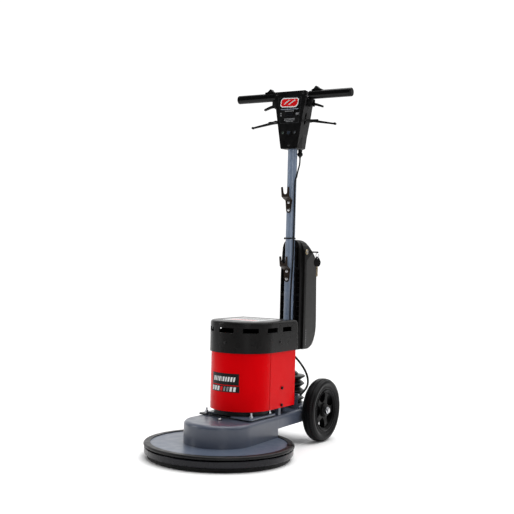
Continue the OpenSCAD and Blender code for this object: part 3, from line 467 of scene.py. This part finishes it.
LEAD = [m(*p) for p in (
    (10, 425, 286), (10, 425, 282), (13, 425, 276.5), (21.5, 425, 269.5), (36, 425, 256),
    (49.5, 424.5, 241.3), (60, 424, 226.7), (68, 422, 213), (74, 417.5, 198), (77.5, 409, 184),
    (78.5, 397, 174), (77, 384.5, 165), (73, 374, 156), (70, 368.5, 150.7), (69, 365.5, 149),
    (69, 362, 149))]
WIRE = [m(*p) for p in (
    (20, 419, 944), (20, 419, 938), (20, 417, 922), (19, 408, 898), (19, 401, 879), (17.3, 395.3, 858),
    (17.5, 395.5, 760), (17.3, 395.1, 680), (16.9, 394.3, 600), (15.3, 391.7, 530), (14.1, 390.2, 460),
    (14.8, 390.9, 400), (18.4, 396, 362), (24, 404, 342), (29.5, 413, 330.5), (31, 420.5, 327),
    (31, 426, 327))]
EARTH = [m(*p) for p in (
    (50, 352, 122.6), (54, 356, 124.5), (60, 361, 127.5), (66, 363, 132), (69.5, 359, 136.5),
    (69, 352, 138.6), (67, 346, 138.8))]

LEAD_R, WIRE_R, EARTH_R = 3.6, 2.5, 1.2

lead_path = smooth_route(LEAD, 6)
lead = tube("battery_lead_cable", lead_path, m(LEAD_R), 20)
paint(lead, "rubber")
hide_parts("battery_lead")
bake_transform(lead)

wire_path = smooth_route(WIRE, 6)
wire = finish_piece(tube("switch_cable_line", wire_path, m(WIRE_R), 16), "handle", "rubber", "rubber",
                    stands_for=["switch_cable"])

earth_path = smooth_route(EARTH, 6)
earth = finish_piece(tube("earth_wire_loop", earth_path, m(EARTH_R), 10), "chassis", "rubber", "earth_wire")


# ---------------------------------------------------------------- CAD nodes

SLOT_OF = {row["node"]: row["material_slot"] for row in frame["record"]["subparts"]}
LOOKS = {"handle_fasteners": "fastener_zinc", "cover_screws": "screw_black", "grips": "grip_rubber"}
for name, o in NODES.items():
    o.data.materials.clear()
    o.data.materials.append(MATERIALS[LOOKS.get(name, SLOT_OF[name])])
for name in ("battery_shell", "release_lever_left", "release_lever_right", "switch_lever_left",
             "switch_lever_right"):
    soften(NODES[name], m(1.2))
for name in ("battery_frame", "thumb_button_left", "thumb_button_right"):
    soften(NODES[name], m(1))


# ---------------------------------------------------------------- gaiter

FOLDS = (136, 161, 186, 210)


def make_gaiter():
    outer = [(54, 122.0), (54, 126), (50, 128.5)]
    for k, z in enumerate(FOLDS):
        outer += arc(58 if k < 3 else 59.5, z, 2.6, -75, 75, 8)
        if k < 3:
            outer += arc(50, (z + FOLDS[k + 1]) / 2, 3, -90, -270, 8)
    outer += [(44, 214), (38.6, 215), *arc(36.6, 219, 2, 0, 90, 4), (34, 221.5), (34, 224)]
    inner = [(31.3, 224), (31.3, 213), (40, 211), (56, 210), (45, 201), (45, 195), (56, 186), (45, 176.5),
             (45, 170.5), (56, 161), (45, 151.5), (45, 145.5), (56, 136), (47.5, 130), (47.5, 122.0)]

    def worn_in(r, h, a):
        """The folds of moulded rubber aren't quite true."""
        if not 0.130 < h < 0.212:
            return r, h
        lift = 0.0009 * math.sin(2 * a + 55 * h) * min(1, (r - 0.034) / 0.02)
        return r, h + max(-0.0012, min(0.0012, lift))

    o = lathe("gaiter_bellows", outer + inner, Matrix.Translation(m(0, TUBE_Y, 0)), 96, worn_in)
    paint(o, "rubber")
    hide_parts("gaiter")
    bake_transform(o)


make_gaiter()


# ---------------------------------------------------------------- tyres

WHEEL_R, WHEEL_W, WHEEL_IN = 104, 44, 100.5
TREAD_NOTCHES = 90


def make_tyre(side, body, node):
    groove = [(101.8, 14.3), (101.0, 14.8), (101.0, 15.6), (101.8, 16.1)]
    half = [(71, 5.2), (72.8, 4.0), (74.4, 3.6), (75.2, 4.6), (76.2, 4.8), (77.0, 3.2), (78.6, 2.8),
            (79.4, 3.9), (80.6, 4.0), *arc(90, 13, 12, -112, -62, 6), (97.0, 2.4), (98.3, 3.4),
            (98.8, 4.8), (98.9, 6.2), (100.2, 6.8), (101.7, 8.2), (102.6, 10.2), (103.1, 13.8)]
    profile = half + groove + [(103.6, 16.6), (103.9, 20), (104, 22), (103.9, 24), (103.6, 27.4)]
    profile += [(r, WHEEL_W - h) for r, h in reversed(half + groove)]
    steps = 360

    def notched(r, h, a):
        """Short cross notches on both shoulders of the tread."""
        k = round(math.degrees(a) * steps / 360)
        low = h < m(14) or h > m(30)
        if r > m(100.9) and low and k % (steps // TREAD_NOTCHES) == 0:
            return r - m(1.1), h
        return r, h

    turn = Matrix.Rotation(math.radians(90 * side), 4, "Y")
    place = Matrix.Translation(m(side * WHEEL_IN, AXLE_Y, WHEEL_R)) @ turn
    o = lathe("tyre_tread_" + body.split("_")[1], profile, place, steps, notched)
    sharp_edges(o, 30)
    finish_piece(o, body, "tyre", "tyre", stands_for=[node])


make_tyre(-1, "wheel_left", "tyre_left")
make_tyre(1, "wheel_right", "tyre_right")


# ---------------------------------------------------------------- floor pad

def make_pad():
    def rough_edge(r, h, a):
        p = Vector((r * math.cos(a), r * math.sin(a), h)) * 160
        amount = noise.noise(p) * 0.0012 + noise.noise(p * 2.3) * 0.0007
        if r > 0.19:
            r = r + amount - 0.0006
        return r, max(0.0, min(0.014, h))

    outline = [(0.0001, 0), (120, 0), (190, 0), (205, 0), *arc(212, 4, 4, -90, 0, 5), (216, 7), (216, 10),
               *arc(213, 11, 3, 0, 90, 4), (200, 14), (0.0001, 14)]
    o = lathe("pad_disc", outline, None, 360, rough_edge)
    finish_piece(o, "drive", "pad_fibre", "pad_fibre", stands_for=["floor_pad"])


make_pad()


# ---------------------------------------------------------------- labels on the cover

COVER_R, MOTOR_Y = 99.5, 123.5


def wrapped(name, a0, a1, z0, z1, lift, thick, material, slant=0.0, n=24):
    """A thin curved plate on the round cover, between two angles from the front (degrees)."""
    verts, faces = [], []
    for layer in (0, 1):
        r = COVER_R + lift + thick * layer
        for i in range(n + 1):
            for z, shift in ((z0, 0.0), (z1, slant)):
                a = math.radians(a0 + (a1 - a0) * i / n + shift)
                verts.append(m(r * math.sin(a), MOTOR_Y - r * math.cos(a), z))
    rows = 2 * (n + 1)
    for i in range(n):
        b = 2 * i
        faces.append((b, b + 2, b + 3, b + 1))
        faces.append((rows + b, rows + b + 1, rows + b + 3, rows + b + 2))
        faces.append((b, rows + b, rows + b + 2, b + 2))
        faces.append((b + 1, b + 3, rows + b + 3, rows + b + 1))
    faces.append((0, 1, rows + 1, rows))
    e = 2 * n
    faces.append((e, rows + e, rows + e + 1, e + 1))
    return paint(sharp_edges(mesh_object(name, verts, faces), 40), material)


def make_cover_labels():
    parts = [wrapped("plate", -33, 26, 216, 251, 0.05, 0.35, "label_black"),
             wrapped("strip", -34, 27, 194, 213.5, 0.05, 0.3, "label_black")]
    a = -28.5
    for width in (5.2, 3.6, 3.0, 4.2, 2.2, 4.6, 4.0, 4.4, 4.4, 4.2):
        parts.append(wrapped("bar", a, a + width - 1.1, 226.5, 240.5, 0.42, 0.15, "label_white", 1.4, 4))
        a += width + 0.9
    a = -32.5
    for k, width in enumerate((6.0, 6.2, 6.0, 6.2, 4.6, 5.2, 5.4, 5.6)):
        colour = "label_white" if k not in (3, 4, 5) else ("label_red", "label_grey", "label_grey")[k - 3]
        parts.append(wrapped("bar", a, a + width - 1.2, 197, 210.5, 0.36, 0.15, colour, 1.2, 4))
        a += width + 1.2
    finish_piece(join("cover_labels", parts), "chassis", "panel_black")


make_cover_labels()


def make_cap_label_and_reflection():
    """A pale plate on the back of the cap's flat top, partly a label and partly a painted reflection of the
    bright backdrop, with slanted marks where its print would be.
    """
    top = 408.55
    # The pale sheet is partly a painted reflection of the bright backdrop on the back of the cap's top
    sheet = prism("sheet", round_rect(-62, 88, 62, 226, 9), top, top + 0.5, None, 0.15, 1)
    parts = [paint(sheet, "pale_label_and_reflection")]
    for y, size, colour in ((112, 20, "label_red"), (148, 9, "label_grey"), (164, 9, "label_grey"),
                            (186, 22, "label_black")):
        x = -46
        while x < 42:
            w = random.uniform(0.35, 0.6) * size
            mark = [(x, y), (x + w, y), (x + w + size * 0.2, y + size), (x + size * 0.2, y + size)]
            parts.append(paint(prism("mark", mark, top + 0.5, top + 0.62), colour))
            x += w + size * 0.22
    finish_piece(join("cap_label_and_reflection", parts), "chassis", "cap_plastic")


make_cap_label_and_reflection()


# ---------------------------------------------------------------- head: label, window, lamps

HEAD_Y, LAMP_Z = 373.7, 1026


def front_plate(name, outline, lift, thick, material, bevel=0.0):
    """A thin plate on the head's front, given by (x, z) in mm, standing lift in front of the panel."""
    return paint(prism(name, outline, 0, thick, front_place(HEAD_Y - lift), bevel, 1), material)


def bar_row(x0, x1, z, height, gap, lift, material):
    """A row of short bars that stands where a line of small print would be. They spell nothing."""
    parts, x = [], x0
    while x < x1 - 1:
        w = min(random.uniform(2.2, 5.0), x1 - x)
        outline = round_rect(x, z, x + w, z + height, height * 0.3, 2)
        parts.append(front_plate("bar", outline, lift, 0.12, material))
        x += w + gap
    return parts


def make_head_label():
    floor = -0.8
    sheet = [(-36.6, 1056.5), (36.6, 1056.5), (46, 1145.5), (-46, 1145.5)]
    parts = [front_plate("sheet", sheet, floor, 0.35, "label_black")]
    top = floor + 0.36
    outside = [(-35.4, 1057.8), (35.4, 1057.8), (44.4, 1144.2), (-44.4, 1144.2)]
    for a, b in zip(outside, outside[1:] + outside[:1]):
        dx, dz = b[0] - a[0], b[1] - a[1]
        w = 0.45 / math.hypot(dx, dz)
        line = [(a[0] - w * dz, a[1] + w * dx), a, b, (b[0] - w * dz, b[1] + w * dx)]
        parts.append(front_plate("line", line, top, 0.06, "label_dim"))
    lozenge = [(-31, 1112), (23, 1110), (31, 1118), (35, 1137), (29, 1141), (-26, 1143), (-33, 1137),
               (-36, 1119)]
    inner = [(x * 0.92 - 0.1, 1126.5 + (z - 1126.5) * 0.80) for x, z in lozenge]
    parts.append(front_plate("rim", lozenge, top, 0.14, "label_white"))
    parts.append(front_plate("field", inner, top + 0.15, 0.12, "label_red"))
    for mark in ([(-24, 1121), (-19, 1121), (2, 1135), (-6, 1135)],
                 [(-8, 1119.5), (-2, 1119.5), (24, 1134), (18, 1135)]):
        parts.append(front_plate("mark", mark, top + 0.28, 0.1, "label_white"))
    parts += bar_row(-33, 33, 1103.0, 3.0, 0.9, top, "label_blue")
    parts += bar_row(-17, 18, 1096.6, 3.0, 0.9, top, "label_grey")
    for box in ((-35, 1088.8, -30.5, 1093.2), (-35, 1081.8, -30.5, 1086.2), (24, 1085, 35, 1091.5)):
        parts.append(front_plate("icon", round_rect(*box, 1), top, 0.12, "label_grey"))
    parts += bar_row(-19, 21, 1071, 2.6, 0.8, top, "label_grey")
    parts += bar_row(-20, 20, 1066.5, 2.6, 0.8, top, "label_grey")
    parts += bar_row(-14, 15, 1062, 2.4, 0.8, top, "label_grey")
    finish_piece(join("head_label", parts), "handle", "panel_plastic")
    bezel = round_rect(-17, 1080.5, 15, 1094.5, 4)
    glass = round_rect(-14.5, 1082.5, 12.5, 1092.5, 2.5)
    window = [front_plate("bezel", bezel, top, 0.5, "panel_plastic", 0.15),
              front_plate("glass", glass, top + 0.45, 0.25, "window_gloss", 0.1)]
    finish_piece(join("hour_meter", window), "handle", "panel_plastic")
    for name, x, lens in (("lamp_left", -23, "lamp_green"), ("lamp_right", 22, "lamp_blue")):
        place = front_place(HEAD_Y) @ Matrix.Translation(m(x, LAMP_Z, 0))
        profile = [(4.2, 0), (7, 0), (7, 0.8), *arc(6.2, 0.8, 0.8, 0, 90, 3), (4.2, 1.6)]
        ring = paint(lathe(name, profile, place, 48), "lever_plastic")
        profile = [(0.001, 0), (4.1, 0), (4.1, 0.8), *arc(0, -2.6, 5.4, 40, 90, 6)]
        dome = paint(lathe("dome", profile, place, 40), lens)
        finish_piece(join(name, [ring, dome]), "handle", "panel_plastic")
    profile = [(5.9, 0), (9, 0), (9, 1), *arc(8, 1, 1, 0, 90, 4), (6.6, 2.0), (5.9, 1.4)]
    ring = lathe("button_ring", profile, front_place(HEAD_Y) @ Matrix.Translation(m(0, LAMP_Z, 0)), 56)
    finish_piece(ring, "handle", "lever_plastic", "lever_plastic")


make_head_label()


HEAD_LOW, HEAD_TOP, HEAD_LOW_W, HEAD_TOP_W = 972, 1164, 31.3, 61


def head_half(z):
    """Half width of the head at a height in mm."""
    return HEAD_LOW_W + (HEAD_TOP_W - HEAD_LOW_W) * (z - HEAD_LOW) / (HEAD_TOP - HEAD_LOW)


def head_rear(z):
    """Y of the head's back at a height in mm."""
    return 427 + 6 * (z - HEAD_LOW) / 50


def make_head_sides():
    # A shallow fold on each side of the head, standing out most at its lower rear corner
    parts = []
    low, top, out, sunk = 974, 1020, 3.2, 0.4
    for s in (-1, 1):
        at_top, at_low = s * (head_half(top) - sunk), s * (head_half(low) - sunk)
        stands = s * (head_half(low) + out)
        rear = head_rear(low) - 1
        rim = [(at_top, 401, top), (at_low, 379, low), (stands, 403, low), (stands, rear, low),
               (at_top, head_rear(top) - 1, top), (at_low, rear, low), (at_low, 403, low)]
        verts = [m(*p) for p in rim]
        faces = [(0, 1, 2), (0, 2, 3, 4), (1, 6, 2), (6, 5, 3, 2), (5, 4, 3), (0, 6, 1), (0, 4, 5, 6)]
        parts.append(paint(sharp_edges(mesh_object("fold", verts, faces), 8), "head_plastic"))
    finish_piece(join("head_folds", parts), "handle", "head_plastic")


make_head_sides()


def make_lever_roots():
    # The broad root of each release lever, outside the head
    for s, side in ((-1, "left"), (1, "right")):
        outline = [(52.6, 377), (56, 376), (62, 380), (74, 392), (96, 397), (96, 403), (74, 407), (62, 420),
                   (56, 428), (52.6, 427)]
        o = prism("lever_root_" + side, [(s * x, y) for x, y in outline], 1062.5, 1069.5, None, 1.2, 3)
        finish_piece(o, "release_" + side, "lever_plastic", "lever_plastic")


make_lever_roots()


# ---------------------------------------------------------------- lock, keys and battery trim

LOCK_Y, LOCK_Z, HOLE_X, RING_R = 441, 628, 80.8, 9.2
HANG_X, HANG_Z, RING_Z = 6.3, 607.5, 616.7
BATTERY_SIDE = 44
TO_X = Matrix.Rotation(math.radians(90), 4, "Y")


def make_keys():
    place = Matrix.Translation(m(BATTERY_SIDE, LOCK_Y, LOCK_Z)) @ TO_X
    profile = [(0.001, -12), (6, -12), (6, 0), (8.6, 0), (8.6, 0.8), *arc(7.4, 0.8, 1.2, 0, 90, 4),
               (5.2, 2.0), (4.8, 1.4), (0.001, 1.4)]
    barrel = lathe("barrel", profile, place, 56)
    profile = [(0.001, 1.2), (4.4, 1.2), (4.4, 2.6), *arc(3.8, 2.6, 0.6, 0, 90, 3), (0.001, 3.2)]
    plug = lathe("plug", profile, place, 40)
    paint(barrel, "brass")
    paint(plug, "steel")
    outline = [(46, 437.6), (55, 437.6), (55, 444.4), (46, 444.4)]
    blade = prism("blade", outline, LOCK_Z - 0.9, LOCK_Z + 0.9, None, 0.3, 1)
    paint(blade, "steel")
    outline = [(52, 436), (61, 436), (64, 433.5), *arc(75.5, LOCK_Y, 12, -125, 125, 24), (64, 448.5),
               (61, 446), (52, 446)]
    bow = prism("bow", outline, LOCK_Z - 2.3, LOCK_Z + 2.3, None, 0.9, 3)
    cut(bow, prism("hole", disc(HOLE_X, LOCK_Y, 3.2), LOCK_Z - 5, LOCK_Z + 5))
    paint(bow, "lever_plastic")
    lock = join("lock_and_key", [barrel, plug, blade, bow])
    finish_piece(lock, "key", "brass", stands_for=["battery_key"])

    # Split ring: two turns of wire through both bows
    turn = Matrix.Translation(m(HOLE_X, LOCK_Y, 0)) @ Matrix.Rotation(math.radians(-30), 4, "Z")
    loop = []
    for k in range(97):
        a = 2 * math.pi * 2 * k / 96
        loop.append(turn @ Vector(m(HANG_X + RING_R * math.cos(a), -0.8 + 1.6 * k / 96,
                                    RING_Z - RING_R * math.sin(a))))
    finish_piece(tube("key_ring", loop, m(0.75), 8), "key", "zinc", "zinc")

    # The second key hangs in the ring
    flat = turn @ Matrix.Translation(m(HANG_X, 0, HANG_Z)) @ side_place(0)
    spare = prism("spare_bow", outline_of_bow(), -1.9, 1.9, flat, 0.8, 3)
    cut(spare, prism("eye", disc(0, 0, 2.3), -6, 6, flat))
    paint(spare, "lever_plastic")
    steps = [(-2.9, -26), (2.9, -26), (2.9, -60), (1, -62.5), (-0.4, -61), (-2.9, -58.6), (-2.9, -54.5),
             (-1.7, -52.4), (-2.9, -50.3), (-2.9, -46.6), (-1.8, -44.6), (-2.9, -42.6), (-2.9, -36)]
    key_blade = prism("spare_blade", steps, -0.95, 0.95, flat, 0.25, 1)
    paint(key_blade, "brass")
    hanging = join("hanging_key", [spare, key_blade])
    finish_piece(hanging, "spare", "lever_plastic", stands_for=["spare_key"])


def outline_of_bow():
    """The hanging key's bow: narrow round the hole and wide below it."""
    side = [(6, -28), (9.6, -25), (12.6, -19), *arc(9.3, -13.2, 4.2, -35, 30, 5), (10.6, -5.4), (7.6, -0.5),
            (4.9, 4.2), (1.8, 6)]
    return side + [(-y, z) for y, z in reversed(side)]


make_keys()


def make_battery_trim():
    marks = []
    for k in range(7):
        z = 312 + 8 * k
        o = prism("mark", round_rect(447.6, z, 450.2, z + 4.6, 1.2), -0.2, 0.28, side_place(BATTERY_SIDE))
        marks.append(paint(o, "label_grey"))
    finish_piece(join("battery_marks", marks), "battery", "battery_grey")
    # Ribs in the cradle's open pockets
    ribs = []
    for s in (-1, 1):
        for k in range(20):
            z = 314 + 16 * k
            wide = 34.3 if z < 566 else 28.3
            if any(abs(z - edge) < 12 for edge in (392, 482, 572)) or (s > 0 and z < 392):
                continue
            x0, x1 = sorted((s * 19.8, s * wide))
            outline = [(x0, 411.5), (x1, 411.5), (x1, 425.8), (x0, 425.8)]
            ribs.append(paint(prism("rib", outline, z, z + 1.8, None, 0.4, 1), "battery_plastic"))
    finish_piece(join("cradle_ribs", ribs), "handle", "battery_plastic")
    # Two screws on each side of the case
    for s, name in ((1, "right"), (-1, "left")):
        parts = []
        for y, z in ((436.5, 320), (436.5, 590)):
            outward = Matrix.Rotation(math.radians(90 * s), 4, "Y")
            place = Matrix.Translation(m(s * BATTERY_SIDE, y, z)) @ outward
            profile = [(0.001, -1), (2.9, -1), (2.9, 0.1), *arc(0, -3.5, 4.6, 51, 90, 4)]
            parts.append(paint(lathe("screw", profile, place, 28), "lever_plastic"))
        finish_piece(join("battery_screws_" + name, parts), "battery", "battery_plastic")


make_battery_trim()


# ---------------------------------------------------------------- small hardware

def make_hardware():
    # Cable tie round the tube and the switch cable
    z = 672
    path = [m(17.2 * math.cos(a), TUBE_Y + 17.2 * math.sin(a), z)
            for a in (math.radians(-12 + 295 * k / 60) for k in range(61))]
    path += [m(*p) for p in ((11.5, 388.6, z), (16, 391.2, z), (20.2, 393.6, z), (20.8, 396.4, z),
                             (18.4, 399.2, z))]
    verts, faces = [], []
    centre = Vector(m(2.5, 401.5, 0))
    for p in path:
        v = Vector(p)
        out = Vector((v.x - centre.x, v.y - centre.y, 0)).normalized()
        for dr, dz in ((0, -2.2), (1.1, -2.2), (1.1, 2.2), (0, 2.2)):
            verts.append(v + out * m(dr) + Vector((0, 0, m(dz))))
    for i in range(len(path) - 1):
        for k in range(4):
            j = (k + 1) % 4
            faces.append((4 * i + k, 4 * i + 4 + k, 4 * i + 4 + j, 4 * i + j))
    faces += [(0, 1, 2, 3), tuple(4 * (len(path) - 1) + k for k in (3, 2, 1, 0))]
    band = paint(sharp_edges(mesh_object("tie_band", verts, faces), 40), "rubber")
    block = prism("tie_block", round_rect(-21.6, 396, -16.6, 404, 1.2), z - 3.2, z + 3.2, None, 0.5, 2)
    paint(block, "lever_plastic")
    finish_piece(join("cable_tie", [band, block]), "handle", "lever_plastic")

    # Bolt in the middle of the gear housing's top, in a dark ring
    profile = [(2.5, 111.5), (8.2, 111.5), (8.2, 112.6), (7.4, 113.2), (2.5, 113.2)]
    washer = lathe("washer", profile, None, 48)
    profile = [(0.001, 113), (4.4, 113), (4.4, 115.4), *arc(3.2, 115.4, 1.2, 0, 90, 4), (0.001, 117.2)]
    bolt = lathe("bolt", profile, None, 40)
    parts = [paint(washer, "screw_black"), paint(bolt, "bright_zinc")]
    finish_piece(join("housing_bolt", parts), "chassis", "zinc")

    # Clip over the joint in the bumper strip
    turn = Matrix.Rotation(math.radians(26), 4, "Z")
    profile = [(205, 47.15), (221.8, 47.15), *arc(221.75, 41.75, 5.4, 90, -60, 9),
               *reversed(arc(221.75, 41.75, 6.3, 90, -60, 9)), (205, 48.05)]
    upright = Matrix.Rotation(math.radians(90), 4, "X")
    parts = [paint(prism("clip", profile, -11, 11, turn @ upright), "lever_plastic")]
    for y in (-6.5, 6.5):
        profile = [(0.001, 48.0), (2.6, 48.0), *arc(0, 45.2, 3.9, 46, 90, 5)]
        head = lathe("rivet", profile, turn @ Matrix.Translation(m(211, y, 0)), 24)
        parts.append(paint(head, "screw_black"))
    finish_piece(join("bumper_clip", parts), "chassis", "lever_plastic")

    # Screw that holds the earth wire on the arm
    place = Matrix.Translation(m(46, 349, 121.8))
    lug = lathe("lug", [(0.001, 0), (5, 0), (5, 1.2), (0.001, 1.2)], place, 32)
    profile = [(0.001, 1.2), (4, 1.2), (4, 3.2), *arc(3.2, 3.2, 0.8, 0, 90, 3), (0.001, 4)]
    head = lathe("head", profile, place, 6)
    finish_piece(join("earth_screw", [paint(lug, "zinc"), paint(head, "zinc")]), "chassis", "zinc")

    # Tapered sleeve where the battery lead leaves the cradle
    profile = [(3.3, 284.2), (4.3, 284.2), (5.4, 286), (7, 296), (7, 299), (3.3, 299)]
    sleeve = lathe("lead_sleeve", profile, Matrix.Translation(m(10, 425, 0)), 32)
    finish_piece(sleeve, "handle", "rubber", "rubber")


make_hardware()


# ---------------------------------------------------------------- floor and light

ROOM, BACKDROP = 0.10, 1.08


def make_stage():
    corners = [(x, y, 0) for x, y in disc(-0.6, 1.0, 3.6, 96)]
    floor = mesh_object("floor", corners, [tuple(range(96))], smooth=False)
    make_material("floor_white", (0.93, 0.93, 0.93), 0.85, shade=0.004, shade_scale=0.6, grain=0.05,
                  grain_scale=40, specular=0.1)
    paint(floor, "floor_white")
    scene.view_settings.view_transform = "Standard"

    # The backdrop is white to look at, and the room in front of the machine is dim
    world = bpy.data.worlds.new("studio")
    world.use_nodes = True
    t = world.node_tree
    seen = t.nodes.new("ShaderNodeLightPath")
    way = t.nodes.new("ShaderNodeTexCoord")
    behind = t.nodes.new("ShaderNodeVectorMath")
    behind.operation = "DOT_PRODUCT"
    behind.inputs[1].default_value = (-math.sin(YAW), math.cos(YAW), 0.25)
    t.links.new(way.outputs["Generated"], behind.inputs[0])
    sheet = t.nodes.new("ShaderNodeMapRange")
    sheet.interpolation_type = "SMOOTHSTEP"
    for i, v in enumerate((0.30, 0.95, ROOM, BACKDROP)):
        sheet.inputs[i + 1].default_value = v
    t.links.new(behind.outputs["Value"], sheet.inputs[0])
    strength = t.nodes.new("ShaderNodeMix")
    strength.inputs[3].default_value = BACKDROP
    t.links.new(sheet.outputs[0], strength.inputs[2])
    t.links.new(seen.outputs["Is Camera Ray"], strength.inputs[0])
    background = t.nodes["Background"]
    background.inputs["Color"].default_value = (1, 1, 1, 1)
    t.links.new(strength.outputs[0], background.inputs["Strength"])
    scene.world = world

    sun = bpy.data.lights.new("sky", "SUN")
    sun.energy, sun.angle = 2.7, math.radians(80)
    o = bpy.data.objects.new("sky", sun)
    o.rotation_euler = (math.radians(-12), math.radians(10), 0)
    scene.collection.objects.link(o)

    def softbox(name, place, aim, width, height, power):
        data = bpy.data.lights.new(name, "AREA")
        data.shape, data.size, data.size_y, data.energy = "RECTANGLE", width, height, power
        o = bpy.data.objects.new(name, data)
        o.location = place
        o.rotation_mode = "QUATERNION"
        o.rotation_quaternion = (Vector(aim) - Vector(place)).to_track_quat("-Z", "Y")
        scene.collection.objects.link(o)

    softbox("left", (-2.6, -1.6, 1.5), (0, 0.1, 0.4), 0.5, 2.4, 26)
    softbox("right", (2.6, 1.2, 1.6), (0, 0.2, 0.5), 0.6, 2.2, 8)
    softbox("front", (2.5, -2.5, 1.5), (0, 0.1, 0.5), 0.5, 2.4, 20)
    softbox("top", (0.2, 0.3, 2.6), (0, 0.2, 0.6), 1.6, 1.2, 14)


make_stage()
